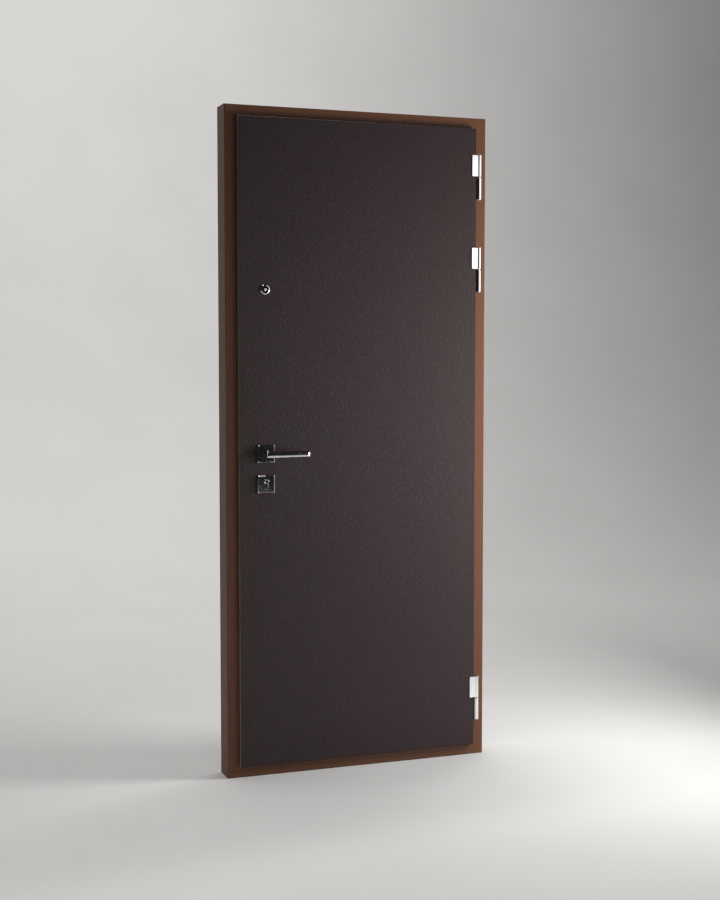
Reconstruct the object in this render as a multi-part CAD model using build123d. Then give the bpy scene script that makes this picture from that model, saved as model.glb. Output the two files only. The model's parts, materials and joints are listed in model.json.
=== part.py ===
from build123d import *
import os

# A steel entrance door in its own four-sided frame. The leaf swings outward on three lift-off
# hinges, and a pair of lever handles turns on one spindle. All sizes are in millimetres.
# +X runs to the hinge side, +Y into the building, +Z up. The origin is the middle of the
# threshold's underside.

# Frame
FRAME_WIDTH = 860.0
FRAME_HEIGHT = 2050.0
FRAME_DEPTH = 82.0
FRAME_LAND = 55.0
REBATE_DEPTH = 58.0
STOP_HEIGHT = 18.0
FRAME_BEND = 2.5
ANCHOR_RADIUS = 6.0
ANCHOR_WALL = 3.0
ANCHOR_OUTER_SPACING = 1450.0
ANCHOR_INNER_SPACING = 550.0

# Leaf
SIDE_REVEAL = 37.0
TOP_REVEAL = 34.0
BOTTOM_REVEAL = 34.0
SKIN_THICKNESS = 8.0
SKIN_EDGE_RADIUS = 2.0
SEAL_GAP = 5.0
LOCK_SIDE_GAP = 8.0
HINGE_SIDE_GAP = 6.0
CORE_END_GAP = 5.0
INNER_PANEL_THICKNESS = 10.0
INNER_PANEL_EDGE_RADIUS = 2.0

# Seals
SEAL_CLEARANCE = 0.4
SEAL_WIDTH = 10.0
SEAL_INSET = 4.0

# Hinges
HINGE_HEIGHT = 143.0
HINGE_FROM_END = 187.0
HINGE_PAIR_SPACING = 292.0
KNUCKLE_RADIUS = 8.0
KNUCKLE_END_CHAMFER = 1.5
KNUCKLE_LEAF_CLEARANCE = 1.2
KNUCKLE_FRAME_CLEARANCE = 1.0
HINGE_TAIL_REACH = 16.0
HINGE_TAIL_THICKNESS = 2.5
HINGE_TAIL_CORNER = 3.0
HINGE_TAIL_ROUND = 0.8
HINGE_FOOT_FLARE = 0.5
HINGE_FOOT_THICKNESS = 5.0
HINGE_PIN_RADIUS = 4.5
HINGE_PIN_COVER = 8.0
HINGE_PIN_CLEARANCE = 0.05
WASHER_THICKNESS = 2.0
WASHER_INSET = 0.8
WASHER_CLEARANCE = 0.2

# Lock and handles
BACKSET = 84.0
HANDLE_HEIGHT = 1000.0
PLUG_BELOW_HANDLE = 85.0
PLATE_SIZE = 55.0
PLATE_THICKNESS = 10.0
PLATE_CORNER = 2.0
PLATE_BEVEL = 4.0
SPINDLE_SIZE = 8.0
SPINDLE_CLEARANCE = 0.05
SPINDLE_HOLE_RADIUS = 7.0
LEVER_JOURNAL_RADIUS = 9.0
LEVER_JOURNAL_LENGTH = 6.0
LEVER_CLEARANCE = 0.3
LEVER_PROJECTION = 54.0
LEVER_REACH = 128.0
LEVER_HEIGHT = 20.0
LEVER_TIP_HEIGHT = 17.0
LEVER_THICKNESS = 12.0
LEVER_NECK_HALF_WIDTH = 10.0
LEVER_BASE_HALF_WIDTH = 16.0
LEVER_BASE_FLARE = 14.0
LEVER_OUTER_CORNER = 8.0
LEVER_INNER_CORNER = 10.0
LEVER_BEVEL_HEIGHT = 6.0
LEVER_BEVEL_DEPTH = 5.0
LEVER_EDGE_ROUND = 0.8
SOCKET_DEPTH = 20.0

# Profile cylinder
PLUG_HOUSING_RADIUS = 8.5
PROFILE_WIDTH = 10.0
PROFILE_HEIGHT = 33.0
PROFILE_CLEARANCE = 0.3
CYLINDER_PROUD = 1.0
CYLINDER_RIM = 0.6
KEYWAY_WIDTH = 2.2
KEYWAY_HEIGHT = 9.0
KEYWAY_DEPTH = 12.0

# Lock edge
FACEPLATE_WIDTH = 24.0
FACEPLATE_HEIGHT = 235.0
FACEPLATE_THICKNESS = 3.0
FACEPLATE_CLEARANCE = 0.2
LATCH_HEIGHT = 22.0
LATCH_WIDTH = 12.0
LATCH_LENGTH = 30.0
BOLT_RADIUS = 8.0
BOLT_SPACING = 26.0
BOLT_COUNT = 3
BOLT_LENGTH = 45.0
BOLT_CLEARANCE = 0.3
STRIKE_THICKNESS = 2.0
STRIKE_POCKET_DEPTH = 30.0
STRIKE_PLAY = 2.0

# Door viewer
VIEWER_HEIGHT = 1498.0
VIEWER_RING_RADIUS = 15.5
VIEWER_RING_THICKNESS = 4.0
VIEWER_RING_ROUND = 3.6
VIEWER_BARREL_RADIUS = 7.0
VIEWER_BARREL_CLEARANCE = 0.3
VIEWER_SIGHT_RADIUS = 4.0
VIEWER_LENS_RADIUS = 7.0
VIEWER_LENS_RISE = 3.0

# Planes that the pieces share
FRONT_Y = -FRAME_DEPTH / 2
STOP_Y = FRONT_Y + REBATE_DEPTH
BACK_Y = FRAME_DEPTH / 2
MITRE = FRAME_LAND + STOP_HEIGHT
SKIN_BACK_Y = FRONT_Y - SEAL_GAP
LEAF_FRONT_Y = SKIN_BACK_Y - SKIN_THICKNESS
LEAF_BACK_Y = STOP_Y - SEAL_GAP
CORE_BACK_Y = LEAF_BACK_Y - INNER_PANEL_THICKNESS
LEAF_HALF_WIDTH = FRAME_WIDTH / 2 - SIDE_REVEAL
LEAF_BOTTOM_Z = BOTTOM_REVEAL
LEAF_TOP_Z = FRAME_HEIGHT - TOP_REVEAL
REBATE_HALF_WIDTH = FRAME_WIDTH / 2 - FRAME_LAND
CORE_LOCK_X = -REBATE_HALF_WIDTH + LOCK_SIDE_GAP
CORE_HINGE_X = REBATE_HALF_WIDTH - HINGE_SIDE_GAP
CORE_BOTTOM_Z = FRAME_LAND + CORE_END_GAP
CORE_TOP_Z = FRAME_HEIGHT - FRAME_LAND - CORE_END_GAP
HARDWARE_X = -LEAF_HALF_WIDTH + BACKSET
PLUG_HEIGHT = HANDLE_HEIGHT - PLUG_BELOW_HANDLE
PROFILE_DROP = PROFILE_HEIGHT - PLUG_HOUSING_RADIUS - PROFILE_WIDTH / 2
ESCUTCHEON_HEIGHT = PLUG_HEIGHT + PLUG_HOUSING_RADIUS - PROFILE_HEIGHT / 2
HINGE_X = LEAF_HALF_WIDTH + KNUCKLE_LEAF_CLEARANCE + KNUCKLE_RADIUS
HINGE_Y = FRONT_Y - KNUCKLE_FRAME_CLEARANCE - KNUCKLE_RADIUS
HINGE_HEIGHTS = {
    "top": FRAME_HEIGHT - HINGE_FROM_END,
    "middle": FRAME_HEIGHT - HINGE_FROM_END - HINGE_PAIR_SPACING,
    "bottom": HINGE_FROM_END,
}
LOCK_EDGE_Y = (SKIN_BACK_Y + CORE_BACK_Y) / 2
FACEPLATE_CENTRE_Z = HANDLE_HEIGHT - FACEPLATE_HEIGHT / 4
BOLT_HEIGHTS = [PLUG_HEIGHT - (index + 1) * BOLT_SPACING for index in range(BOLT_COUNT)]

pieces = {}


def block(x_range, y_range, z_range):
    """A box between two corners."""
    size = [high - low for low, high in (x_range, y_range, z_range)]
    middle = [(high + low) / 2 for low, high in (x_range, y_range, z_range)]
    return Pos(*middle) * Box(*size)


def rod(radius, start, axis, length):
    """A round bar from a start point along an axis."""
    return extrude(Plane(origin=start, z_dir=axis) * Circle(radius), amount=length)


def facing_out(x, y, z):
    """A drawing plane that looks out of the building, with Z up."""
    return Plane(origin=(x, y, z), x_dir=(1, 0, 0), z_dir=(0, -1, 0))


def facing_in(x, y, z):
    """A drawing plane that looks into the building, with Z up."""
    return Plane(origin=(x, y, z), x_dir=(-1, 0, 0), z_dir=(0, 1, 0))


# Frame: one folded section, mitred at the four corners
def frame_member(length):
    """A mitred length of frame, with its outer edge along local Z."""
    section = make_face(
        Polyline(
            (0, FRONT_Y),
            (FRAME_LAND, FRONT_Y),
            (FRAME_LAND, STOP_Y),
            (MITRE, STOP_Y),
            (MITRE, BACK_Y),
            (0, BACK_Y),
            close=True,
        )
    )
    section = fillet(section.vertices(), FRAME_BEND)
    outline = make_face(
        Plane.XZ * Polyline((0, 0), (MITRE, MITRE), (MITRE, length - MITRE), (0, length), close=True)
    )
    return extrude(section, amount=length) & extrude(outline, amount=FRAME_DEPTH, both=True)


def placed_member(length, origin, inward, along):
    """A frame member set at a corner, with its rebate turned inward."""
    return Plane(origin=origin, x_dir=inward, z_dir=along).location * frame_member(length)


LEFT = -FRAME_WIDTH / 2
RIGHT = FRAME_WIDTH / 2
lock_jamb = placed_member(FRAME_HEIGHT, (LEFT, 0, 0), (1, 0, 0), (0, 0, 1))
hinge_jamb = placed_member(FRAME_HEIGHT, (RIGHT, 0, FRAME_HEIGHT), (-1, 0, 0), (0, 0, -1))
pieces["head"] = placed_member(FRAME_WIDTH, (LEFT, 0, FRAME_HEIGHT), (0, 0, -1), (1, 0, 0))
pieces["threshold"] = placed_member(FRAME_WIDTH, (RIGHT, 0, 0), (0, 0, 1), (-1, 0, 0))

ANCHOR_Y = (FRONT_Y + STOP_Y) / 2
anchor_depth = FRAME_LAND - ANCHOR_WALL
for spacing in (ANCHOR_OUTER_SPACING, ANCHOR_INNER_SPACING):
    for side in (-1, 1):
        anchor_z = FRAME_HEIGHT / 2 + side * spacing / 2
        lock_jamb -= rod(ANCHOR_RADIUS, (-REBATE_HALF_WIDTH, ANCHOR_Y, anchor_z), (-1, 0, 0), anchor_depth)
        hinge_jamb -= rod(ANCHOR_RADIUS, (REBATE_HALF_WIDTH, ANCHOR_Y, anchor_z), (1, 0, 0), anchor_depth)
pieces["hinge_jamb"] = hinge_jamb


# Lock edge: faceplate, latch, bolts, and the strike plate across from them
def edge_plate(x_face, thickness, growth):
    """An upright plate on the lock side, its outer face at x_face."""
    half_width = FACEPLATE_WIDTH / 2 + growth
    half_height = FACEPLATE_HEIGHT / 2 + growth
    return block(
        (x_face, x_face + thickness),
        (LOCK_EDGE_Y - half_width, LOCK_EDGE_Y + half_width),
        (FACEPLATE_CENTRE_Z - half_height, FACEPLATE_CENTRE_Z + half_height),
    )


def latch_bar(x_start, length, growth):
    """The latch, or a hole for it, running along X."""
    half_width = LATCH_WIDTH / 2 + growth
    half_height = LATCH_HEIGHT / 2 + growth
    return block(
        (x_start, x_start + length),
        (LOCK_EDGE_Y - half_width, LOCK_EDGE_Y + half_width),
        (HANDLE_HEIGHT - half_height, HANDLE_HEIGHT + half_height),
    )


def bolt_bars(x_start, length, growth):
    """The round bolts, or holes for them, running along X."""
    bars = [rod(BOLT_RADIUS + growth, (x_start, LOCK_EDGE_Y, z), (1, 0, 0), length) for z in BOLT_HEIGHTS]
    return Part() + bars


faceplate_pocket = edge_plate(CORE_LOCK_X, FACEPLATE_THICKNESS, FACEPLATE_CLEARANCE)
latch_hole = latch_bar(CORE_LOCK_X, LATCH_LENGTH, BOLT_CLEARANCE)
bolt_holes = bolt_bars(CORE_LOCK_X, BOLT_LENGTH, BOLT_CLEARANCE)
pieces["lock_faceplate"] = edge_plate(CORE_LOCK_X, FACEPLATE_THICKNESS, 0) - latch_hole - bolt_holes
pieces["latch"] = latch_bar(CORE_LOCK_X, LATCH_LENGTH, 0)
pieces["dead_bolts"] = bolt_bars(CORE_LOCK_X, BOLT_LENGTH, 0)

strike_x = -REBATE_HALF_WIDTH - STRIKE_THICKNESS
strike_latch_hole = latch_bar(strike_x - STRIKE_POCKET_DEPTH, STRIKE_POCKET_DEPTH + STRIKE_THICKNESS, STRIKE_PLAY)
strike_bolt_holes = bolt_bars(strike_x - STRIKE_POCKET_DEPTH, STRIKE_POCKET_DEPTH + STRIKE_THICKNESS, STRIKE_PLAY)
pieces["strike_plate"] = edge_plate(strike_x, STRIKE_THICKNESS, 0) - strike_latch_hole - strike_bolt_holes
lock_jamb -= edge_plate(strike_x, STRIKE_THICKNESS, FACEPLATE_CLEARANCE)
lock_jamb -= strike_latch_hole + strike_bolt_holes
pieces["lock_jamb"] = lock_jamb


# Leaf: outer skin, insulated core and inner panel, bored for the lock and the viewer
def cylinder_profile(growth):
    """The keyhole outline of a profile cylinder, drawn about its plug."""
    waist = Pos(0, -PROFILE_DROP / 2) * Rectangle(PROFILE_WIDTH + 2 * growth, PROFILE_DROP)
    foot = Pos(0, -PROFILE_DROP) * Circle(PROFILE_WIDTH / 2 + growth)
    return Circle(PLUG_HOUSING_RADIUS + growth) + waist + foot


def bored(panel):
    """A leaf layer with its holes for spindle, cylinder and viewer."""
    depth = FRAME_DEPTH
    spindle_hole = facing_out(HARDWARE_X, 0, HANDLE_HEIGHT) * Circle(SPINDLE_HOLE_RADIUS)
    cylinder_hole = facing_out(HARDWARE_X, 0, PLUG_HEIGHT) * cylinder_profile(PROFILE_CLEARANCE)
    viewer_hole = facing_out(HARDWARE_X, 0, VIEWER_HEIGHT) * Circle(VIEWER_BARREL_RADIUS + VIEWER_BARREL_CLEARANCE)
    for hole in (spindle_hole, cylinder_hole, viewer_hole):
        panel -= extrude(hole, amount=depth, both=True)
    return panel


leaf_span = (-LEAF_HALF_WIDTH, LEAF_HALF_WIDTH)
core_span = (CORE_LOCK_X, CORE_HINGE_X)
core_rise = (CORE_BOTTOM_Z, CORE_TOP_Z)
skin = block(leaf_span, (LEAF_FRONT_Y, SKIN_BACK_Y), (LEAF_BOTTOM_Z, LEAF_TOP_Z))
skin = fillet(skin.faces().sort_by(Axis.Y)[0].edges(), SKIN_EDGE_RADIUS)
pieces["leaf_skin"] = bored(skin)
core = block(core_span, (SKIN_BACK_Y, CORE_BACK_Y), core_rise)
pieces["leaf_core"] = bored(core) - faceplate_pocket - latch_hole - bolt_holes
inner_panel = block(core_span, (CORE_BACK_Y, LEAF_BACK_Y), core_rise)
inner_panel = fillet(inner_panel.faces().sort_by(Axis.Y)[-1].edges(), INNER_PANEL_EDGE_RADIUS)
pieces["inner_panel"] = bored(inner_panel)


# Seals: one under the skin's overlap, one on the frame's stop
def seal_ring(half_width, bottom, top, y_range):
    """A flat strip round a rectangle, its outer edge at the given sides."""
    outer = block((-half_width, half_width), y_range, (bottom, top))
    inner_half = half_width - SEAL_WIDTH
    inner = block((-inner_half, inner_half), y_range, (bottom + SEAL_WIDTH, top - SEAL_WIDTH))
    return outer - inner


pieces["leaf_seal"] = seal_ring(
    LEAF_HALF_WIDTH - SEAL_INSET,
    LEAF_BOTTOM_Z + SEAL_INSET,
    LEAF_TOP_Z - SEAL_INSET,
    (SKIN_BACK_Y, FRONT_Y - SEAL_CLEARANCE),
)
pieces["stop_seal"] = seal_ring(
    REBATE_HALF_WIDTH - SEAL_INSET,
    FRAME_LAND + SEAL_INSET,
    FRAME_HEIGHT - FRAME_LAND - SEAL_INSET,
    (LEAF_BACK_Y + SEAL_CLEARANCE, STOP_Y),
)


# Hinges: a knuckle with a flat tail on the leaf that lifts off a pin in the frame's knuckle
def barrel(bottom, top):
    """A round knuckle between two heights, chamfered at both ends."""
    body = rod(KNUCKLE_RADIUS, (HINGE_X, HINGE_Y, bottom), (0, 0, 1), top - bottom)
    return chamfer(body.edges().filter_by(GeomType.CIRCLE), KNUCKLE_END_CHAMFER)


def hinge(name, centre):
    """The four pieces of one hinge, centred at a height."""
    top = centre + HINGE_HEIGHT / 2
    bottom = centre - HINGE_HEIGHT / 2
    frame_top = centre - WASHER_THICKNESS / 2
    leaf_bottom = centre + WASHER_THICKNESS / 2 + WASHER_CLEARANCE
    pin_foot = (HINGE_X, HINGE_Y, bottom + HINGE_PIN_COVER)
    pin_length = HINGE_HEIGHT - 2 * HINGE_PIN_COVER
    pin_hole = rod(HINGE_PIN_RADIUS + HINGE_PIN_CLEARANCE, pin_foot, (0, 0, 1), pin_length + HINGE_PIN_CLEARANCE)

    tail_x = (LEAF_HALF_WIDTH - HINGE_TAIL_REACH, HINGE_X)
    tail_rise = (leaf_bottom + KNUCKLE_END_CHAMFER, top - KNUCKLE_END_CHAMFER)
    tail = block(tail_x, (LEAF_FRONT_Y - HINGE_TAIL_THICKNESS, LEAF_FRONT_Y), tail_rise)
    tail = fillet(tail.edges().filter_by(Axis.Y).group_by(Axis.X)[0], HINGE_TAIL_CORNER)
    tail_rim = tail.faces().sort_by(Axis.Y)[0].edges().filter_by(lambda edge: edge.center().X < HINGE_X)
    tail = fillet(tail_rim, HINGE_TAIL_ROUND)
    pieces[f"hinge_{name}_leaf_knuckle"] = barrel(leaf_bottom, top) + tail - pin_hole

    foot_half = KNUCKLE_RADIUS + HINGE_FOOT_FLARE
    foot_x = (HINGE_X - foot_half, HINGE_X + foot_half)
    foot_rise = (bottom + KNUCKLE_END_CHAMFER, frame_top - KNUCKLE_END_CHAMFER)
    foot = block(foot_x, (FRONT_Y - HINGE_FOOT_THICKNESS, FRONT_Y), foot_rise)
    pieces[f"hinge_{name}_frame_knuckle"] = barrel(bottom, frame_top) + foot - pin_hole

    washer = rod(KNUCKLE_RADIUS - WASHER_INSET, (HINGE_X, HINGE_Y, frame_top), (0, 0, 1), WASHER_THICKNESS)
    pieces[f"hinge_{name}_washer"] = washer - pin_hole
    pieces[f"hinge_{name}_pin"] = rod(HINGE_PIN_RADIUS, pin_foot, (0, 0, 1), pin_length)


for hinge_name, hinge_height in HINGE_HEIGHTS.items():
    hinge(hinge_name, hinge_height)


# Handles: a lever on a square rose on each face, turning on one square spindle
def plate(thickness):
    """A square cover plate with a bevelled front, drawn on local XY."""
    body = Pos(0, 0, thickness / 2) * Box(PLATE_SIZE, PLATE_SIZE, thickness)
    body = chamfer(body.faces().sort_by(Axis.Z)[-1].edges(), PLATE_BEVEL)
    return fillet([edge for edge in body.edges() if edge.center().Z not in (0, thickness)], PLATE_CORNER)


def rose():
    """A rose with a bore for the lever's journal."""
    return plate(PLATE_THICKNESS) - Cylinder(LEVER_JOURNAL_RADIUS + SPINDLE_CLEARANCE, 3 * PLATE_THICKNESS)


def lever(reach_sign):
    """A lever drawn with the leaf's face at local Z 0 and its grip along local X."""
    base_z = PLATE_THICKNESS + LEVER_CLEARANCE
    tip = reach_sign * LEVER_REACH
    neck = reach_sign * LEVER_NECK_HALF_WIDTH
    base = reach_sign * LEVER_BASE_HALF_WIDTH
    grip_z = LEVER_PROJECTION - LEVER_THICKNESS
    plan = make_face(
        Plane.XZ
        * Polyline(
            (-base, base_z),
            (-neck, base_z + LEVER_BASE_FLARE),
            (-neck, LEVER_PROJECTION),
            (tip, LEVER_PROJECTION),
            (tip, grip_z),
            (neck, grip_z),
            (neck, base_z + LEVER_BASE_FLARE),
            (base, base_z),
            close=True,
        )
    )
    outer = plan.vertices().filter_by(lambda corner: corner.Z > LEVER_PROJECTION - LEVER_THICKNESS / 2)
    plan = fillet(outer, LEVER_OUTER_CORNER)
    inner = plan.vertices().sort_by_distance((neck, 0, grip_z))[0]
    plan = fillet(inner, LEVER_INNER_CORNER)
    half_height = LEVER_HEIGHT / 2
    side = make_face(
        Plane.YZ
        * Polyline(
            (-half_height, base_z),
            (half_height, base_z),
            (half_height, LEVER_PROJECTION - LEVER_BEVEL_DEPTH),
            (half_height - LEVER_BEVEL_HEIGHT, LEVER_PROJECTION),
            (LEVER_BEVEL_HEIGHT - half_height, LEVER_PROJECTION),
            (-half_height, LEVER_PROJECTION - LEVER_BEVEL_DEPTH),
            close=True,
        )
    )
    tip_half_height = LEVER_TIP_HEIGHT / 2
    front = make_face(
        Polyline(
            (-base, -half_height),
            (neck, -half_height),
            (tip, -tip_half_height),
            (tip, tip_half_height),
            (neck, half_height),
            (-base, half_height),
            close=True,
        )
    )
    body = extrude(plan, amount=LEVER_HEIGHT, both=True) & extrude(side, amount=2 * LEVER_REACH, both=True)
    body &= extrude(front, amount=LEVER_PROJECTION, both=True)
    front_edges = body.edges().filter_by(lambda edge: edge.center().Z > LEVER_PROJECTION - LEVER_BEVEL_DEPTH)
    body = fillet(front_edges, LEVER_EDGE_ROUND)
    journal = Pos(0, 0, base_z - LEVER_JOURNAL_LENGTH / 2) * Cylinder(LEVER_JOURNAL_RADIUS, LEVER_JOURNAL_LENGTH)
    socket_size = SPINDLE_SIZE + 2 * SPINDLE_CLEARANCE
    socket_start = base_z - LEVER_JOURNAL_LENGTH
    socket = Pos(0, 0, socket_start + SOCKET_DEPTH / 2) * Box(socket_size, socket_size, SOCKET_DEPTH)
    return body + journal - socket


def escutcheon(profile):
    """A cover plate with the cylinder's outline cut through."""
    return plate(PLATE_THICKNESS) - extrude(profile, amount=3 * PLATE_THICKNESS, both=True)


outside_handle = facing_out(HARDWARE_X, LEAF_FRONT_Y, HANDLE_HEIGHT).location
inside_handle = facing_in(HARDWARE_X, LEAF_BACK_Y, HANDLE_HEIGHT).location
pieces["outer_rose"] = outside_handle * rose()
pieces["inner_rose"] = inside_handle * rose()
pieces["outer_lever"] = outside_handle * lever(1)
pieces["inner_lever"] = inside_handle * lever(-1)
spindle_overhang = PLATE_THICKNESS + LEVER_CLEARANCE - LEVER_JOURNAL_LENGTH + SOCKET_DEPTH - SPINDLE_CLEARANCE
pieces["spindle"] = block(
    (HARDWARE_X - SPINDLE_SIZE / 2, HARDWARE_X + SPINDLE_SIZE / 2),
    (LEAF_FRONT_Y - spindle_overhang, LEAF_BACK_Y + spindle_overhang),
    (HANDLE_HEIGHT - SPINDLE_SIZE / 2, HANDLE_HEIGHT + SPINDLE_SIZE / 2),
)

# Lock cylinder and its two escutcheons
profile_offset = PLUG_HEIGHT - ESCUTCHEON_HEIGHT
plate_profile = Pos(0, profile_offset) * cylinder_profile(PROFILE_CLEARANCE)
pieces["outer_escutcheon"] = facing_out(HARDWARE_X, LEAF_FRONT_Y, ESCUTCHEON_HEIGHT).location * escutcheon(plate_profile)
pieces["inner_escutcheon"] = facing_in(HARDWARE_X, LEAF_BACK_Y, ESCUTCHEON_HEIGHT).location * escutcheon(plate_profile)
cylinder_front = LEAF_FRONT_Y - PLATE_THICKNESS - CYLINDER_PROUD
cylinder_back = LEAF_BACK_Y + PLATE_THICKNESS + CYLINDER_PROUD
lock_cylinder = extrude(
    facing_in(HARDWARE_X, cylinder_front, PLUG_HEIGHT) * cylinder_profile(0), amount=cylinder_back - cylinder_front
)
cylinder_ends = lock_cylinder.faces().filter_by(Axis.Y)
lock_cylinder = chamfer(cylinder_ends.edges(), CYLINDER_RIM)
keyway = Rectangle(KEYWAY_WIDTH, KEYWAY_HEIGHT)
lock_cylinder -= extrude(facing_in(HARDWARE_X, cylinder_front, PLUG_HEIGHT) * keyway, amount=KEYWAY_DEPTH)
lock_cylinder -= extrude(facing_out(HARDWARE_X, cylinder_back, PLUG_HEIGHT) * keyway, amount=KEYWAY_DEPTH)
pieces["lock_cylinder"] = lock_cylinder


# Door viewer: a flanged barrel, a convex lens in front and an eyepiece ring behind
def flange():
    """A rounded ring that stands on local Z 0."""
    disc = Pos(0, 0, VIEWER_RING_THICKNESS / 2) * Cylinder(VIEWER_RING_RADIUS, VIEWER_RING_THICKNESS)
    rim = disc.edges().filter_by(GeomType.CIRCLE).sort_by(Axis.Z)[-1]
    return fillet(rim, VIEWER_RING_ROUND)


leaf_thickness = LEAF_BACK_Y - LEAF_FRONT_Y
viewer_outside = facing_out(HARDWARE_X, LEAF_FRONT_Y, VIEWER_HEIGHT).location
viewer_inside = facing_in(HARDWARE_X, LEAF_BACK_Y, VIEWER_HEIGHT).location
barrel_tube = Pos(0, 0, -leaf_thickness / 2) * Cylinder(VIEWER_BARREL_RADIUS, leaf_thickness)
sight = Cylinder(VIEWER_SIGHT_RADIUS, 4 * leaf_thickness)
pieces["viewer_barrel"] = viewer_outside * (flange() + barrel_tube - sight)
pieces["viewer_eyepiece"] = viewer_inside * (flange() - sight)

lens_sphere_radius = (VIEWER_LENS_RADIUS**2 + VIEWER_LENS_RISE**2) / (2 * VIEWER_LENS_RISE)
lens_ball = Pos(0, 0, VIEWER_LENS_RISE - lens_sphere_radius) * Sphere(lens_sphere_radius)
lens_half = Pos(0, 0, VIEWER_LENS_RISE / 2) * Cylinder(VIEWER_LENS_RADIUS, VIEWER_LENS_RISE)
pieces["viewer_lens"] = viewer_outside * (Pos(0, 0, VIEWER_RING_THICKNESS) * (lens_ball & lens_half))

os.makedirs("parts", exist_ok=True)
for piece_name, piece in pieces.items():
    export_step(piece, f"parts/{piece_name}.step")
    print(piece_name, round(piece.volume))
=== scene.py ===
# %% [markdown]
# # A steel entrance door, dressed in Blender
# The door comes as finished solids: a frame, a leaf and a pair of handles, in metres, with +Z up.
# This lesson sets a camera and a small studio round them, mixes a finish for every surface, and
# models the small pieces that are too fine for the solids. The solids themselves are never moved.

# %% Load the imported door
import json
import math

import bmesh
import bpy
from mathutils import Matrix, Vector


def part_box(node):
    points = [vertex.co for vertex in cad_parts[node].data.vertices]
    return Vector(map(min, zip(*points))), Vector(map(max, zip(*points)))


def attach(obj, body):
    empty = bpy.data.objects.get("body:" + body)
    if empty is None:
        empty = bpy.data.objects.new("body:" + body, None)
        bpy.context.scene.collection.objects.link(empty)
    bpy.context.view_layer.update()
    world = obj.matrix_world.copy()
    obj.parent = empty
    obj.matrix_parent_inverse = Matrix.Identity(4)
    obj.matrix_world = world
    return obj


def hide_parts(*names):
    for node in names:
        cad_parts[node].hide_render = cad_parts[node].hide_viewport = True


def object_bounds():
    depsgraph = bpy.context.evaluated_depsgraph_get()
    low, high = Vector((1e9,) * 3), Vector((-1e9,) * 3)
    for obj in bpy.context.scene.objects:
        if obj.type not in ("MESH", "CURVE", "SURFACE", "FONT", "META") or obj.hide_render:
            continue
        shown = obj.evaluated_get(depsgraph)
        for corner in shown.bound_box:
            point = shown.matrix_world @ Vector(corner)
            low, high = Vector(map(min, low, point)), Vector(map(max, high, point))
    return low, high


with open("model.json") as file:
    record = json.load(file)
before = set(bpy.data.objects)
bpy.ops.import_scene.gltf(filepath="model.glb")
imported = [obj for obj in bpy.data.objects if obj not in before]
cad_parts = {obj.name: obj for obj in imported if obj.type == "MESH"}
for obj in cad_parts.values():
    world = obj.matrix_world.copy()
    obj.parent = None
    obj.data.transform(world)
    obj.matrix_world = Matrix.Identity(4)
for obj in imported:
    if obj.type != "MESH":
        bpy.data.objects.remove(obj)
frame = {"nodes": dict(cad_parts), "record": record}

solid_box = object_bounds()
print("door from", tuple(solid_box[0]), "to", tuple(solid_box[1]))

# %% [markdown]
# ## The camera
# A product picture of a door is taken from a little to one side, at breast height, with a long
# lens, so that its upright edges stay nearly parallel. The place and the lens below were worked
# out from the corners of the frame, so the picture can be compared edge by edge.

# %% Camera
CAMERA_PLACE = (-1.6012, -4.3574, 1.3070)
DEGREES_DOWN = 3.776
DEGREES_RIGHT = 20.386
CAMERA_LENS_MM = 58.948

camera_data = bpy.data.cameras.new("door_camera")
camera_data.lens = CAMERA_LENS_MM
camera = bpy.data.objects.new("door_camera", camera_data)
camera.location = CAMERA_PLACE
camera.rotation_euler = (math.radians(90 - DEGREES_DOWN), 0, math.radians(-DEGREES_RIGHT))
bpy.context.scene.collection.objects.link(camera)
bpy.context.scene.camera = camera
bpy.context.scene.view_settings.view_transform = "Standard"

door_middle = (solid_box[0] + solid_box[1]) / 2
print("camera stands", round((Vector(CAMERA_PLACE) - door_middle).length, 2), "m from the door")

# %% [markdown]
# ## Shader sums in Python
# A finish is a small sum: a base value plus some grain, times some strength. Wiring Math nodes one
# by one hides that sum, so a class wraps a socket and lets Python's own operators add the nodes.


# %% Sockets that add up
class Signal:
    """A shader socket that takes part in Python sums."""

    def __init__(self, recipe, socket):
        self.recipe = recipe
        self.socket = socket

    def joined(self, operation, first, second):
        return self.recipe.node("ShaderNodeMath", {"operation": operation}, {0: first, 1: second})

    def __add__(self, other):
        return self.joined("ADD", self, other)

    def __sub__(self, other):
        return self.joined("SUBTRACT", self, other)

    def __rsub__(self, other):
        return self.joined("SUBTRACT", other, self)

    def __mul__(self, other):
        return self.joined("MULTIPLY", self, other)

    __radd__ = __add__
    __rmul__ = __mul__


# %% [markdown]
# ## Recipes for finishes
# Every other node comes from one method that sets the node up first and then fills its sockets.
# The rest of the class gives plain names to what the finishes below are made of: grain, a ramp
# between two values, a mix of colours, and bumps. A Mix node lists its colour sockets behind those
# for numbers and vectors, under the same names, so they are found by their place in the list.

# %% Recipes
MIX_SHARE = 0
MIX_FIRST = 6
MIX_SECOND = 7
MIX_RESULT = 2


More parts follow.
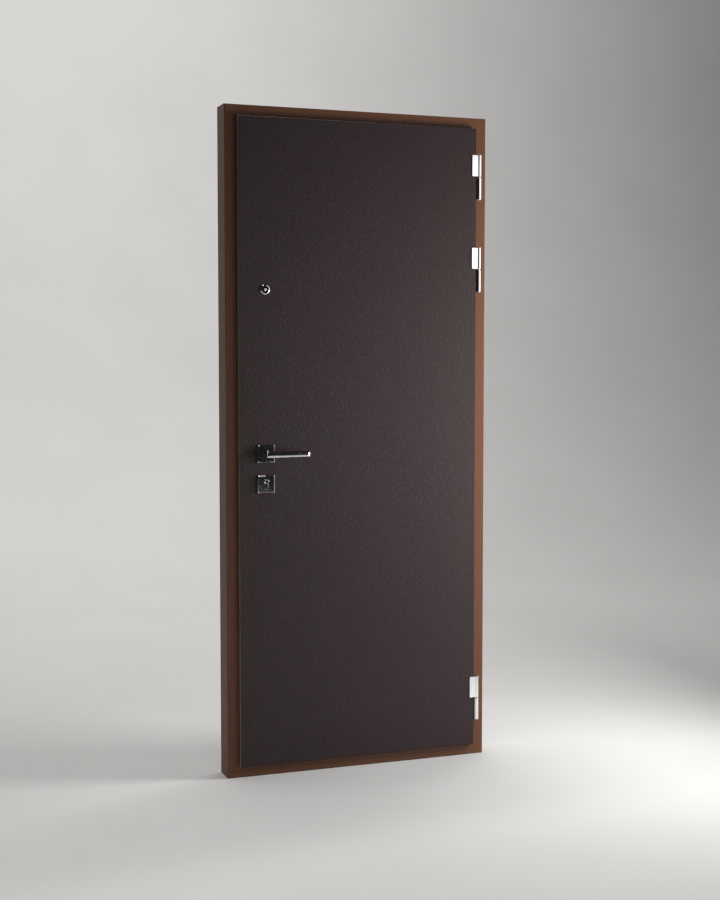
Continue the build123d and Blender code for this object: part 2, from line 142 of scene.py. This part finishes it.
class Recipe:
    """The node tree of a material or a world, filled one node at a time."""

    def __init__(self, owner):
        owner.use_nodes = True
        self.owner = owner
        self.tree = owner.node_tree

    def fill(self, socket, value):
        if isinstance(value, Signal):
            self.tree.links.new(value.socket, socket)
        else:
            socket.default_value = value

    def node(self, kind, settings=None, inputs=None, output=0):
        """Adds a node, sets it up, fills its sockets and returns one of its outputs."""
        made = self.tree.nodes.new(kind)
        for setting, value in (settings or {}).items():
            setattr(made, setting, value)
        for name, value in (inputs or {}).items():
            self.fill(made.inputs[name], value)
        return Signal(self, made.outputs[output])

    def place(self, stretch=(1, 1, 1)):
        """The point on the piece, in metres, stretched so that a pattern runs along an axis."""
        point = self.node("ShaderNodeTexCoord", output="Object")
        return self.node("ShaderNodeMapping", inputs={"Vector": point, "Scale": stretch})

    def noise(self, per_metre, stretch=(1, 1, 1), detail=2.0, output=0):
        """Soft random grain from 0 to 1, with so many lumps in a metre."""
        inputs = {"Vector": self.place(stretch), "Scale": per_metre, "Detail": detail}
        return self.node("ShaderNodeTexNoise", inputs=inputs, output=output)

    def ramp(self, value, start, end, curve="SMOOTHSTEP"):
        """Rises from 0 to 1 while a value goes from a start to an end."""
        inputs = {"Value": value, "From Min": start, "From Max": end}
        return self.node("ShaderNodeMapRange", {"interpolation_type": curve}, inputs)

    def mixed(self, share, first, second):
        """A colour between two colours."""
        inputs = {MIX_SHARE: share, MIX_FIRST: first, MIX_SECOND: second}
        return self.node("ShaderNodeMix", {"data_type": "RGBA"}, inputs, MIX_RESULT)

    def bump(self, height, depth, strength=1.0):
        """A surface normal that follows a height between 0 and 1, over a depth in metres."""
        inputs = {"Height": height, "Distance": depth, "Strength": strength}
        return self.node("ShaderNodeBump", inputs=inputs, output="Normal")

    def shade(self, **values):
        """Fills the sockets of the surface shader, named in lower case."""
        shader = self.tree.nodes["Principled BSDF"]
        for name, value in values.items():
            self.fill(shader.inputs[name.replace("_", " ").title().replace("Ior", "IOR")], value)
        return self.owner


# %% [markdown]
# ## Colours as they look on a screen
# A shader works with linear light, while colours are easier to judge as screen values from 0 to
# 255. One function turns the second into the first, along the standard curve of screens.


# %% Colours and empty finishes
def finish(name):
    """An empty recipe for a new material."""
    return Recipe(bpy.data.materials.new(name))


def paint(red, green, blue):
    """A screen colour, 0 to 255, as the linear colour that a shader wants."""
    shares = [channel / 255 for channel in (red, green, blue)]
    linear = [s / 12.92 if s <= 0.04045 else ((s + 0.055) / 1.055) ** 2.4 for s in shares]
    return (*linear, 1.0)


print("middle grey on a screen is", round(paint(128, 128, 128)[0], 3), "in linear light")

# %% [markdown]
# ## The studio
# The door stands on a pale sweep: a floor that curves up into a wall, so that no edge shows behind
# it. A plane with its far edge pulled up and the fold bevelled gives exactly that. Two helpers come
# first: one lays a sheet with nothing else selected, and one selects parts of a mesh in edit mode
# by a test on their place.


# %% Sheets and selections
def sheet(name, left, right, front, back, height):
    """A flat rectangle at a height, with the object itself at the origin."""
    bpy.ops.object.select_all(action="DESELECT")
    middle = ((left + right) / 2, (front + back) / 2, height)
    bpy.ops.mesh.primitive_plane_add(size=1, location=middle)
    made = bpy.context.object
    made.name = name
    made.scale = (right - left, back - front, 1)
    bpy.ops.object.transform_apply(location=True, rotation=True, scale=True)
    return made


def pick(kind, test):
    """Selects the faces or edges of the mesh in edit mode that pass a test on their middle."""
    bpy.ops.mesh.select_mode(type=kind)
    bpy.ops.mesh.select_all(action="DESELECT")
    mesh = bmesh.from_edit_mesh(bpy.context.object.data)
    for part in {"FACE": mesh.faces, "EDGE": mesh.edges}[kind]:
        middle = sum((vertex.co for vertex in part.verts), Vector()) / len(part.verts)
        if test(middle, part):
            part.select_set(True)
    bmesh.update_edit_mesh(bpy.context.object.data)


# %% Pale sweep
SWEEP_LEFT = -7.0
SWEEP_RIGHT = 8.0
SWEEP_FRONT = -2.8
SWEEP_BACK = 7.0
SWEEP_HEIGHT = 9.0
SWEEP_BEND = 4.0
SWEEP_BEND_STEPS = 24
NEAR = 0.01  # closer than this counts as lying on an edge

sweep = sheet("pale_sweep", SWEEP_LEFT, SWEEP_RIGHT, SWEEP_FRONT, SWEEP_BACK, 0)
bpy.ops.object.mode_set(mode="EDIT")
pick("EDGE", lambda middle, edge: middle.y > SWEEP_BACK - NEAR)
bpy.ops.mesh.extrude_region_move(TRANSFORM_OT_translate={"value": (0, 0, SWEEP_HEIGHT)})
pick("EDGE", lambda middle, edge: middle.y > SWEEP_BACK - NEAR and abs(middle.z) < NEAR)
bpy.ops.mesh.bevel(offset=SWEEP_BEND, segments=SWEEP_BEND_STEPS, profile=0.5)
bpy.ops.mesh.select_all(action="SELECT")
bpy.ops.mesh.faces_shade_smooth()
bpy.ops.object.mode_set(mode="OBJECT")

sweep_finish = finish("sweep_paint")
sweep_cloud = sweep_finish.noise(per_metre=1.5)
sweep_tone = sweep_finish.mixed(sweep_cloud, paint(167, 165, 163), paint(173, 172, 170))
sweep_finish.shade(base_color=sweep_tone, roughness=0.9, specular_ior_level=0.0)
sweep.data.materials.append(sweep_finish.owner)
print("sweep has", len(sweep.data.polygons), "faces")

# %% [markdown]
# ## Light on the door
# One small soft box stands close on the right and rakes across the leaf, which is why every raised
# piece throws a soft shadow to the left. So small a lamp would burn out in the chrome, so mirrors
# don't see it. Two larger boxes take its place there, one for the polished hinges and one for the
# sheen of the coatings, and these two light nothing else. A wide box in front fills in, and another
# lights the door's back.


# %% Soft boxes on the door
def soft_box(name, place, aim, size, watts):
    """A rectangular lamp that looks at a point and isn't in the picture itself."""
    lamp = bpy.data.lights.new(name, "AREA")
    lamp.shape = "RECTANGLE"
    lamp.size, lamp.size_y = size
    lamp.energy = watts
    holder = bpy.data.objects.new(name, lamp)
    holder.location = place
    holder.visible_camera = False
    holder.rotation_euler = (Vector(aim) - Vector(place)).to_track_quat("-Z", "Y").to_euler()
    bpy.context.scene.collection.objects.link(holder)
    return holder


raking_box = soft_box(
    "raking_box", place=(1.65, -0.62, 1.2), aim=(0.0, -0.45, 1.2), size=(0.6, 0.6), watts=78
)
raking_box.visible_glossy = False
hinge_box = soft_box(
    "hinge_box", place=(3.2, 0.6, 1.3), aim=(0.0, 0.0, 1.2), size=(3.8, 2.2), watts=32
)
hinge_box.visible_diffuse = False
sheen_box = soft_box(
    "sheen_box", place=(3.5, -3.2, 0.8), aim=(0.0, 0.0, 1.1), size=(1.0, 1.6), watts=104
)
sheen_box.visible_diffuse = False
soft_box("front_box", place=(2.7, -4.6, 1.25), aim=(0.3, 0.0, 1.15), size=(2.4, 2.7), watts=18)
soft_box("back_box", place=(0.2, 4.6, 3.4), aim=(0.3, 0.0, 1.1), size=(1.6, 1.6), watts=30)
print("raking light stands", round(raking_box.location.x, 2), "m to the right of the door's middle")

# %% [markdown]
# ## Light on the room
# The backdrop is brightest behind the lock side and falls off to the right, so a wide box under the
# ceiling is turned to the left half of the wall. Two boxes hang over the floor. A narrow spread
# sends most of their light straight down, as a honeycomb grid does on a studio lamp.

# %% Soft boxes on the room
FLOOR_BOX_SIZE = (1.8, 1.6)
FLOOR_BOX_SPREAD = math.radians(70)


def hung_box(name, place, watts):
    """A soft box over the floor that sends most of its light straight down."""
    spot_below = (place[0], place[1], 0.0)
    holder = soft_box(name, place, spot_below, FLOOR_BOX_SIZE, watts)
    holder.data.spread = FLOOR_BOX_SPREAD


soft_box("wall_box", place=(0.2, 1.2, 6.0), aim=(-0.6, 7.0, 2.2), size=(5.0, 1.5), watts=690)
hung_box("floor_box", place=(-1.3, -1.8, 4.5), watts=28)
hung_box("side_floor_box", place=(4.2, -1.8, 5.0), watts=44)
print(len(bpy.data.lights), "soft boxes light the studio")

# %% [markdown]
# ## The world
# The world adds a little light from all round. Where the camera, polished metal or glass looks past
# the sweep it sees a paler background than that. The Light Path node tells these rays apart, and a
# sum of its outputs picks the level.

# %% World
AMBIENT_LIGHT = 0.025
BACKGROUND_LIGHT = 0.5
WARM_WHITE = (1.0, 0.99, 0.98, 1.0)

world = bpy.data.worlds.new("studio")
bpy.context.scene.world = world
air = Recipe(world)
seen = air.node("ShaderNodeLightPath", output="Is Camera Ray")
mirrored = air.node("ShaderNodeLightPath", output="Is Glossy Ray")
through = air.node("ShaderNodeLightPath", output="Is Transmission Ray")
level = AMBIENT_LIGHT + (seen + mirrored + through) * (BACKGROUND_LIGHT - AMBIENT_LIGHT)
background = world.node_tree.nodes["Background"]
air.fill(background.inputs["Strength"], level)
air.fill(background.inputs["Color"], WARM_WHITE)
print("world of", len(world.node_tree.nodes), "nodes")

# %% [markdown]
# ## Dark card
# Chrome has no colour of its own: it shows what stands round it. In a bright room the front of a
# polished handle would look white and flat. Photographers set up black cards, so that polished
# faces turn dark and their edges stay bright. This card is folded from one plane, over the door,
# down in front of it and down on its left, and only mirrors see it.

# %% Dark card
CARD_LEFT = -7.0
CARD_RIGHT = 2.2
CARD_FRONT = -6.0
CARD_BACK = 0.3
CARD_HEIGHT = 4.6
CARD_FOOT = 0.2

card = sheet("dark_card", CARD_LEFT, CARD_RIGHT, CARD_FRONT, CARD_BACK, CARD_HEIGHT)
bpy.ops.object.mode_set(mode="EDIT")
pick("EDGE", lambda middle, edge: middle.y < CARD_FRONT + NEAR or middle.x < CARD_LEFT + NEAR)
drop = (0, 0, CARD_FOOT - CARD_HEIGHT)
bpy.ops.mesh.extrude_region_move(TRANSFORM_OT_translate={"value": drop})
bpy.ops.object.mode_set(mode="OBJECT")
card.visible_camera = False
card.visible_diffuse = False
card.visible_shadow = False

card_finish = finish("card_felt")
card_cloud = card_finish.noise(per_metre=1.5)
card_tone = card_finish.mixed(card_cloud, paint(36, 34, 33), paint(44, 42, 41))
card.data.materials.append(card_finish.shade(base_color=card_tone, roughness=1.0))
print("card has", len(card.data.polygons), "faces")

# %% [markdown]
# ## Frame finish
# The frame is folded steel with a baked powder coat in a copper brown. Powder melts into a skin
# with a faint orange-peel ripple and fine bronze flakes, so it has a satin sheen that warms up in
# raking light. Noise at two sizes gives the ripple and the flakes. Each finish is filed under the
# name of the slot that the door's record uses for it.

# %% Copper-brown powder coat
MM = 0.001
finishes = {}


def file_finish(slot, material):
    """Keeps a finish under the name of its slot."""
    finishes[slot] = material
    print(slot, "is", material.name, "with", len(material.node_tree.nodes), "nodes")


def powder_coat():
    coat = finish("frame_powder_coat")
    ripple = coat.noise(per_metre=420, detail=1.5)
    flakes = coat.noise(per_metre=1900, detail=1.0)
    cloud = coat.noise(per_metre=5, detail=3.0)
    bronze = paint(120, 80, 57)
    tone = coat.mixed(cloud, paint(86, 54, 36), paint(93, 59, 40))
    tone = coat.mixed(flakes * 0.5, tone, bronze)
    return coat.shade(
        base_color=tone,
        metallic=0.12,
        roughness=0.42 + flakes * 0.12 + ripple * 0.06,
        specular_ior_level=0.25,
        normal=coat.bump(ripple, depth=0.12 * MM, strength=0.5),
    )


file_finish("frame_paint", powder_coat())

# %% [markdown]
# ## Leaf finish
# The leaf has a dark brown plastic-coated skin, embossed like fine leather: small pebbles with
# creases between them, drawn out a little along the rolling direction, which runs upright here.
# A Voronoi pattern's distance to its cell edges is such a net of creases, and a fine noise bends
# the cells out of their straight edges. The creases are painted a darker brown, as painted shade.
# A slower noise lays the long, faint streaks over it that catch the light on the right half. The
# skin is folded back along the lock side, and along that fold a pale hairline is painted into the
# colour as a painted highlight.

# %% Embossed leaf coating
PEBBLES_PER_METRE = 430.0
PEBBLE_STRETCH = (1, 1, 0.62)
STREAK_STRETCH = (1, 1, 0.4)
WOBBLE = 1.8 * MM
# The painted highlight on the lock-side edge fades in between these distances from the edge.
HIGHLIGHT_STARTS = 1.8 * MM
HIGHLIGHT_IS_FULL = 0.8 * MM


def pebbles(coat):
    """A leather grain: 0 in the creases and 1 on the pebbles."""
    wobble = coat.noise(per_metre=240, output="Color")
    bend = coat.node("ShaderNodeVectorMath", {"operation": "SCALE"}, {0: wobble, "Scale": WOBBLE})
    drawn = coat.place(PEBBLE_STRETCH)
    spot = coat.node("ShaderNodeVectorMath", {"operation": "ADD"}, {0: drawn, 1: bend})
    inputs = {"Vector": spot, "Scale": PEBBLES_PER_METRE}
    crease = coat.node("ShaderNodeTexVoronoi", {"feature": "DISTANCE_TO_EDGE"}, inputs)
    return coat.ramp(crease, start=0.0, end=0.32)


def lock_side_highlight(coat):
    """A mask for a painted highlight: a hairline along the leaf's edge on the lock side."""
    edge_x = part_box("leaf_skin")[0].x
    across = coat.node("ShaderNodeSeparateXYZ", inputs={0: coat.place()}, output="X")
    return coat.ramp(across, edge_x + HIGHLIGHT_STARTS, edge_x + HIGHLIGHT_IS_FULL, "LINEAR")


def embossed_coat():
    coat = finish("leaf_embossed_coat")
    pebble = pebbles(coat)
    streak = coat.ramp(coat.noise(per_metre=170, stretch=STREAK_STRETCH), start=0.54, end=0.68)
    cloud = coat.noise(per_metre=4)
    crease_shade_brown = paint(37, 25, 25)
    streak_brown = paint(66, 50, 49)
    painted_highlight_grey = paint(128, 119, 115)
    tone = coat.mixed(cloud, paint(44, 30, 30), paint(47, 33, 33))
    # painted shade: the creases between the pebbles take a darker brown
    tone = coat.mixed(pebble, crease_shade_brown, tone)
    tone = coat.mixed(streak * 0.12, tone, streak_brown)
    # painted highlight: a pale hairline along the lock-side edge, where the fold catches the light
    tone = coat.mixed(lock_side_highlight(coat), tone, painted_highlight_grey)
    return coat.shade(
        base_color=tone,
        roughness=0.44 - streak * 0.05 - pebble * 0.04,
        specular_ior_level=0.28,
        normal=coat.bump(pebble * 0.5 + streak * 0.6, depth=0.35 * MM, strength=0.6),
    )


file_finish("leaf_coating", embossed_coat())

# %% [markdown]
# ## Chrome
# The handles, the hinges and the viewer's ring are chrome plated: a near mirror with faint
# polishing marks. Noise drawn out upright gives the marks, and a slow noise the smudges that make
# some places a little duller than others.


# %% Chrome plating
def chrome_plate():
    plate = finish("chrome_plating")
    marks = plate.noise(per_metre=700, stretch=(1, 1, 0.08), detail=3.0)
    smudge = plate.noise(per_metre=22, detail=4.0)
    tone = plate.mixed(smudge, paint(238, 239, 241), paint(245, 245, 246))
    return plate.shade(
        base_color=tone,
        metallic=1.0,
        roughness=0.03 + smudge * 0.05 + marks * 0.02,
        normal=plate.bump(marks, depth=0.0015 * MM, strength=0.3),
    )


file_finish("chrome_plate", chrome_plate())

# %% [markdown]
# ## Lock steel
# The faceplate, the strike plate, the bolts and the screws are zinc plated and brushed along their
# length, so their grain is noise stretched upright, with the cloudy bloom that zinc takes on.


# %% Brushed zinc
def brushed_zinc():
    zinc = finish("brushed_zinc")
    brush = zinc.noise(per_metre=1500, stretch=(1, 1, 0.02))
    bloom = zinc.noise(per_metre=60, detail=3.0)
    tone = zinc.mixed(bloom, paint(176, 178, 181), paint(206, 206, 205))
    return zinc.shade(
        base_color=tone,
        metallic=1.0,
        roughness=0.24 + brush * 0.18 + bloom * 0.06,
        normal=zinc.bump(brush, depth=0.02 * MM, strength=0.5),
    )


file_finish("lock_steel", brushed_zinc())

# %% [markdown]
# ## Rubber and glass
# The seals are matt rubber with fine pores and a greyish bloom. The viewer's lens is clear glass
# with a trace of haze, which only its roughness shows.


# %% Rubber and glass
def matt_rubber():
    rubber = finish("seal_rubber")
    pores = rubber.noise(per_metre=1300)
    bloom = rubber.noise(per_metre=30, detail=3.0)
    tone = rubber.mixed(bloom, paint(30, 30, 31), paint(42, 42, 43))
    return rubber.shade(
        base_color=tone,
        roughness=0.66 + bloom * 0.16,
        normal=rubber.bump(pores, depth=0.06 * MM, strength=0.6),
    )


def lens_glass():
    glass = finish("lens_glass")
    haze = glass.noise(per_metre=500, detail=3.0)
    return glass.shade(
        base_color=(0.93, 0.95, 0.96, 1.0),
        roughness=haze * 0.03,
        transmission_weight=1.0,
        ior=1.5,
    )


file_finish("seal_rubber", matt_rubber())
file_finish("viewer_glass", lens_glass())

# %% [markdown]
# ## Dressing the solids
# The record says which finish each solid takes, by the name of a slot. The solids keep their
# meshes, and only what is in their material slots changes.

# %% Finishes on the solids
for subpart in frame["record"]["subparts"]:
    solid = frame["nodes"][subpart["node"]]
    solid.data.materials.clear()
    solid.data.materials.append(finishes[subpart["material_slot"]])
print(len(frame["nodes"]), "solids in", len(finishes), "finishes")

# %% [markdown]
# ## Helpers for modelled pieces
# Every small piece below starts as a primitive, gets its shape in edit mode and is set in place by
# moving its mesh. A few helpers keep that short: one starts a primitive with nothing else selected,
# one moves a mesh to its place, one ends the shaping with all faces turned outwards, one shades
# the piece, and one gives it its name, its finish and the body that it moves with.

# %% Helpers for modelled pieces
QUARTER = math.radians(90)


def start(adder, **values):
    """Adds a primitive with nothing else selected."""
    bpy.ops.object.select_all(action="DESELECT")
    adder(**values)
    return bpy.context.object


def only(piece):
    """Makes a piece the one selected object."""
    bpy.ops.object.select_all(action="DESELECT")
    piece.select_set(True)
    bpy.context.view_layer.objects.active = piece


def place_mesh(piece, at=(0, 0, 0), turn=(0, 0, 0), scale=(1, 1, 1)):
    """Turns, scales and moves a piece, and leaves the object itself at the origin."""
    only(piece)
    piece.location = at
    piece.rotation_euler = turn
    piece.scale = scale
    bpy.ops.object.transform_apply(location=True, rotation=True, scale=True)


def end_shaping():
    """Turns all faces of the mesh in edit mode outwards and leaves edit mode."""
    bpy.ops.mesh.select_all(action="SELECT")
    bpy.ops.mesh.normals_make_consistent(inside=False)
    bpy.ops.object.mode_set(mode="OBJECT")


def smooth(piece, degrees):
    """Shades a piece smooth, apart from edges that are sharper than an angle."""
    only(piece)
    bpy.ops.object.shade_smooth_by_angle(angle=math.radians(degrees))


def settle(piece, name, body, slot):
    """Names a piece, gives it a finish and lets it ride on a body."""
    piece.name = name
    piece.data.materials.clear()
    piece.data.materials.append(finishes[slot])
    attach(piece, body)


# %% [markdown]
# ## Rubber seals
# A steel door closes on two soft seals: one behind the leaf's overlap, one on the frame's stop.
# Each is an extruded strip with two round lips and a groove between them, mitred at the corners.
# An inset of a plane gives the mitred ring, a second inset the strip between the lips, and a bevel
# rounds the lips. The solids carry plain strips, which these pieces take the place of.

# %% Two-lipped seals
SEAL_STRIP = 10 * MM
LIP_WIDTH = 3.6 * MM
GROOVE_DEPTH = 2.2 * MM
LIP_ROUND = 1.5 * MM
LIP_STEPS = 4
SAME_PLANE = 0.1 * MM  # closer than this counts as lying in a plane


def lipped_seal(node, lips_towards):
    """A mitred ring in the box of a solid seal, its lips turned to -Y or +Y."""
    low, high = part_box(node)
    back_y = high.y if lips_towards < 0 else low.y
    front_y = low.y if lips_towards < 0 else high.y

    def at_front(point):
        return abs(point.y - front_y) < SAME_PLANE

    def lip_edge(spot, edge):
        slopes = {round(face.normal.y, 1) for face in edge.link_faces}
        return all(at_front(end.co) for end in edge.verts) and len(slopes) > 1

    seal = start(bpy.ops.mesh.primitive_plane_add, size=1)
    middle = ((low.x + high.x) / 2, back_y, (low.z + high.z) / 2)
    place_mesh(seal, middle, (-lips_towards * QUARTER, 0, 0), (high.x - low.x, high.z - low.z, 1))
    bpy.ops.object.mode_set(mode="EDIT")
    bpy.ops.mesh.select_all(action="SELECT")
    bpy.ops.mesh.inset(thickness=SEAL_STRIP)
    bpy.ops.mesh.delete(type="FACE")
    bpy.ops.mesh.select_all(action="SELECT")
    bpy.ops.mesh.extrude_region_move(TRANSFORM_OT_translate={"value": (0, front_y - back_y, 0)})
    pick("FACE", lambda spot, face: at_front(spot))
    bpy.ops.mesh.inset(thickness=LIP_WIDTH, use_boundary=True)
    bpy.ops.transform.translate(value=(0, -lips_towards * GROOVE_DEPTH, 0))
    pick("EDGE", lip_edge)
    bpy.ops.mesh.bevel(offset=LIP_ROUND, segments=LIP_STEPS, profile=0.5)
    end_shaping()
    smooth(seal, degrees=35)
    print(node, "becomes a lipped seal of", len(seal.data.polygons), "faces")
    return seal


overlap_seal = lipped_seal("leaf_seal", 1)
settle(overlap_seal, "overlap_seal", "leaf", "seal_rubber")
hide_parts("leaf_seal")
frame_seal = lipped_seal("stop_seal", -1)
settle(frame_seal, "frame_seal", "frame", "seal_rubber")
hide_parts("stop_seal")

# %% [markdown]
# ## Turned studs and copies
# Screws are turned parts, so they start as a cylinder with one rim bevelled, and their drive is cut
# out with a Boolean modifier. What repeats is modelled once and copied, and every copy gets a mesh
# of its own, because its place is in its mesh.

# %% Helpers for turned pieces
STUD_SIDES = 32
FACING = 0.9  # how far a face's normal has to point along an axis to look that way


def stud(radius, length, rim, rim_steps, end):
    """A cylinder with the rim of its upper (1) or lower (-1) end bevelled, left in edit mode."""
    made = start(bpy.ops.mesh.primitive_cylinder_add, vertices=STUD_SIDES, radius=radius, depth=length)
    bpy.ops.object.mode_set(mode="EDIT")
    pick("FACE", lambda spot, face: end * face.normal.z > FACING)
    bpy.ops.mesh.bevel(offset=rim, segments=rim_steps, affect="EDGES")
    return made


def cut_away(piece, cutter):
    """Cuts one piece's shape out of another and throws the cutter away."""
    only(piece)
    cut = piece.modifiers.new("cut", "BOOLEAN")
    cut.operation = "DIFFERENCE"
    cut.solver = "EXACT"
    cut.object = cutter
    bpy.ops.object.modifier_apply(modifier=cut.name)
    bpy.data.objects.remove(cutter)


def copy_of(piece, at, turn=(0, 0, 0)):
    """A copy with its own mesh, set at a place."""
    copy = piece.copy()
    copy.data = piece.data.copy()
    bpy.context.scene.collection.objects.link(copy)
    place_mesh(copy, at, turn)
    return copy


# %% [markdown]
# ## Cross-recess screws
# The lock's faceplate and the strike plate are each held by two countersunk screws. One screw is
# a stud with a bevelled head, a smaller lower end and a cross cut into its head. The cross is a
# cube with its four sides pulled out. The four screws are copies of it, turned to face the gap
# between the leaf and the frame.

# %% One countersunk screw
SCREW_RADIUS = 3.6 * MM
SCREW_DEPTH = 1.6 * MM
SCREW_RIM = 0.35 * MM
SCREW_TAPER = 0.6
CROSS_BAR = 1.1 * MM
CROSS_ARM = 1.5 * MM

screw = stud(SCREW_RADIUS, SCREW_DEPTH, SCREW_RIM, rim_steps=3, end=1)
pick("FACE", lambda spot, face: face.normal.z < -FACING)
bpy.ops.transform.resize(value=(SCREW_TAPER, SCREW_TAPER, 1))
bpy.ops.object.mode_set(mode="OBJECT")

cross = start(bpy.ops.mesh.primitive_cube_add, size=CROSS_BAR)
place_mesh(cross, at=(0, 0, SCREW_DEPTH / 2))
bpy.ops.object.mode_set(mode="EDIT")
pick("FACE", lambda spot, face: abs(face.normal.z) < 1 - FACING)
bpy.ops.mesh.extrude_faces_move(TRANSFORM_OT_shrink_fatten={"value": CROSS_ARM})
bpy.ops.object.mode_set(mode="OBJECT")
cut_away(screw, cross)
smooth(screw, degrees=30)
print("screw of", len(screw.data.polygons), "faces")

# %% Four screws
SCREW_FROM_END = 12 * MM
SCREW_PROUD = 0.1 * MM

plates = {"lock_faceplate": ("leaf", -1), "strike_plate": ("frame", 1)}
for plate_node, (body, side) in plates.items():
    low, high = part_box(plate_node)
    face_x = low.x if side < 0 else high.x
    screw_x = face_x - side * (SCREW_DEPTH / 2 - SCREW_PROUD)
    for end, z in {"upper": high.z - SCREW_FROM_END, "lower": low.z + SCREW_FROM_END}.items():
        piece = copy_of(screw, (screw_x, (low.y + high.y) / 2, z), (0, side * QUARTER, 0))
        settle(piece, f"{plate_node}_screw_{end}", body, "lock_steel")
        print(piece.name, "at height", round(z, 3))
bpy.data.objects.remove(screw)

# %% [markdown]
# ## Key plugs
# In each end of the lock cylinder turns a round plug with the key's slot. It stands out of the
# housing by half a millimetre or so and has a turned rim that catches the light. A disc is pulled
# up, its rim is bevelled, a fine groove is let in between insets, and the slot is cut through.


# %% Raised discs
def raised_disc(sides, radius, height, rim, rim_steps):
    """A disc pulled up to a height, with its rim bevelled, left in edit mode."""
    made = start(bpy.ops.mesh.primitive_circle_add, vertices=sides, radius=radius, fill_type="NGON")
    bpy.ops.object.mode_set(mode="EDIT")
    bpy.ops.mesh.select_all(action="SELECT")
    bpy.ops.mesh.extrude_region_move(TRANSFORM_OT_translate={"value": (0, 0, height)})
    bpy.ops.mesh.bevel(offset=rim, segments=rim_steps, affect="EDGES")
    return made


# %% One key plug
PLUG_SIDES = 64
PLUG_RADIUS = 6.3 * MM
PLUG_PROUD = 0.6 * MM
PLUG_RIM = 0.4 * MM
PLUG_GROOVE = 0.3 * MM
SLOT_WIDTH = 2.2 * MM
SLOT_HEIGHT = 9 * MM
SLOT_DEPTH = 6 * MM

plug = raised_disc(PLUG_SIDES, PLUG_RADIUS, PLUG_PROUD, PLUG_RIM, rim_steps=3)
pick("FACE", lambda spot, face: face.normal.z > FACING and len(face.verts) == PLUG_SIDES)
bpy.ops.mesh.inset(thickness=PLUG_GROOVE)
bpy.ops.mesh.inset(thickness=PLUG_GROOVE)
bpy.ops.transform.translate(value=(0, 0, -PLUG_GROOVE / 2))
bpy.ops.mesh.inset(thickness=PLUG_GROOVE / 2)
bpy.ops.transform.translate(value=(0, 0, PLUG_GROOVE / 2))
end_shaping()
slot_cutter = start(bpy.ops.mesh.primitive_cube_add, size=1)
place_mesh(slot_cutter, scale=(SLOT_WIDTH, SLOT_HEIGHT, SLOT_DEPTH))
cut_away(plug, slot_cutter)
smooth(plug, degrees=30)
print("plug of", len(plug.data.polygons), "faces")

# %% Two key plugs
PLUG_BELOW_ROSE = 85 * MM

low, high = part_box("lock_cylinder")
rose_low, rose_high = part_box("outer_rose")
lock_x = (low.x + high.x) / 2
plug_z = (rose_low.z + rose_high.z) / 2 - PLUG_BELOW_ROSE
for name, y, turn in (("outer_plug", low.y, QUARTER), ("inner_plug", high.y, -QUARTER)):
    settle(copy_of(plug, (lock_x, y, plug_z), (turn, 0, 0)), name, "leaf", "chrome_plate")
    print(name, "at height", round(plug_z, 3))
bpy.data.objects.remove(plug)

# %% [markdown]
# ## Grub screws
# Each lever is pinched to the square spindle by a headless screw with a hexagon socket, set into
# the underside of its neck. A stud with a six-sided cut makes one.

# %% Grub screws
GRUB_RADIUS = 2.4 * MM
GRUB_LENGTH = 3 * MM
GRUB_RIM = 0.3 * MM
GRUB_PROUD = 0.2 * MM
GRUB_FROM_LEAF = 20 * MM
SOCKET_RADIUS = 1.4 * MM
SOCKET_LENGTH = 3 * MM
SOCKET_SIDES = 6

grub = stud(GRUB_RADIUS, GRUB_LENGTH, GRUB_RIM, rim_steps=2, end=-1)
bpy.ops.object.mode_set(mode="OBJECT")
socket = start(
    bpy.ops.mesh.primitive_cylinder_add,
    vertices=SOCKET_SIDES,
    radius=SOCKET_RADIUS,
    depth=SOCKET_LENGTH,
)
place_mesh(socket, at=(0, 0, -GRUB_LENGTH / 2))
cut_away(grub, socket)
smooth(grub, degrees=30)

grub_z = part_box("outer_lever")[0].z + GRUB_LENGTH / 2 - GRUB_PROUD
grub_places = {
    "outer_grub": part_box("leaf_skin")[0].y - GRUB_FROM_LEAF,
    "inner_grub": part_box("inner_panel")[1].y + GRUB_FROM_LEAF,
}
for name, y in grub_places.items():
    settle(copy_of(grub, (lock_x, y, grub_z)), name, "handle", "lock_steel")
    print(name, "under the lever at y", round(y, 3))
bpy.data.objects.remove(grub)

# %% [markdown]
# ## Anchor caps
# The frame is held in its wall by anchors set from inside the rebate, two pairs in each jamb. Their
# holes are closed with low round caps in the frame's colour. One cap is a disc pulled up a little
# with a wide soft bevel.

# %% Anchor caps
CAP_SIDES = 48
CAP_RADIUS = 8 * MM
CAP_HEIGHT = 0.9 * MM
CAP_ROUND = 0.8 * MM
ANCHOR_PAIRS = (1450 * MM, 550 * MM)
REBATE_DEPTH = 58 * MM
SEAL_TO_REBATE = 4 * MM

cap = raised_disc(CAP_SIDES, CAP_RADIUS, CAP_HEIGHT, CAP_ROUND, rim_steps=4)
end_shaping()
smooth(cap, degrees=40)

jamb_low, jamb_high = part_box("lock_jamb")
anchor_y = jamb_low.y + REBATE_DEPTH / 2
jamb_middle_z = (jamb_low.z + jamb_high.z) / 2
rebate_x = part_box("stop_seal")[1].x + SEAL_TO_REBATE
count = 0
for side in (-1, 1):
    for pair in ANCHOR_PAIRS:
        for end in (-1, 1):
            count += 1
            spot = (side * rebate_x, anchor_y, jamb_middle_z + end * pair / 2)
            piece = copy_of(cap, spot, (0, -side * QUARTER, 0))
            settle(piece, f"anchor_cap_{count}", "frame", "frame_paint")
bpy.data.objects.remove(cap)
print(count, "anchor caps")
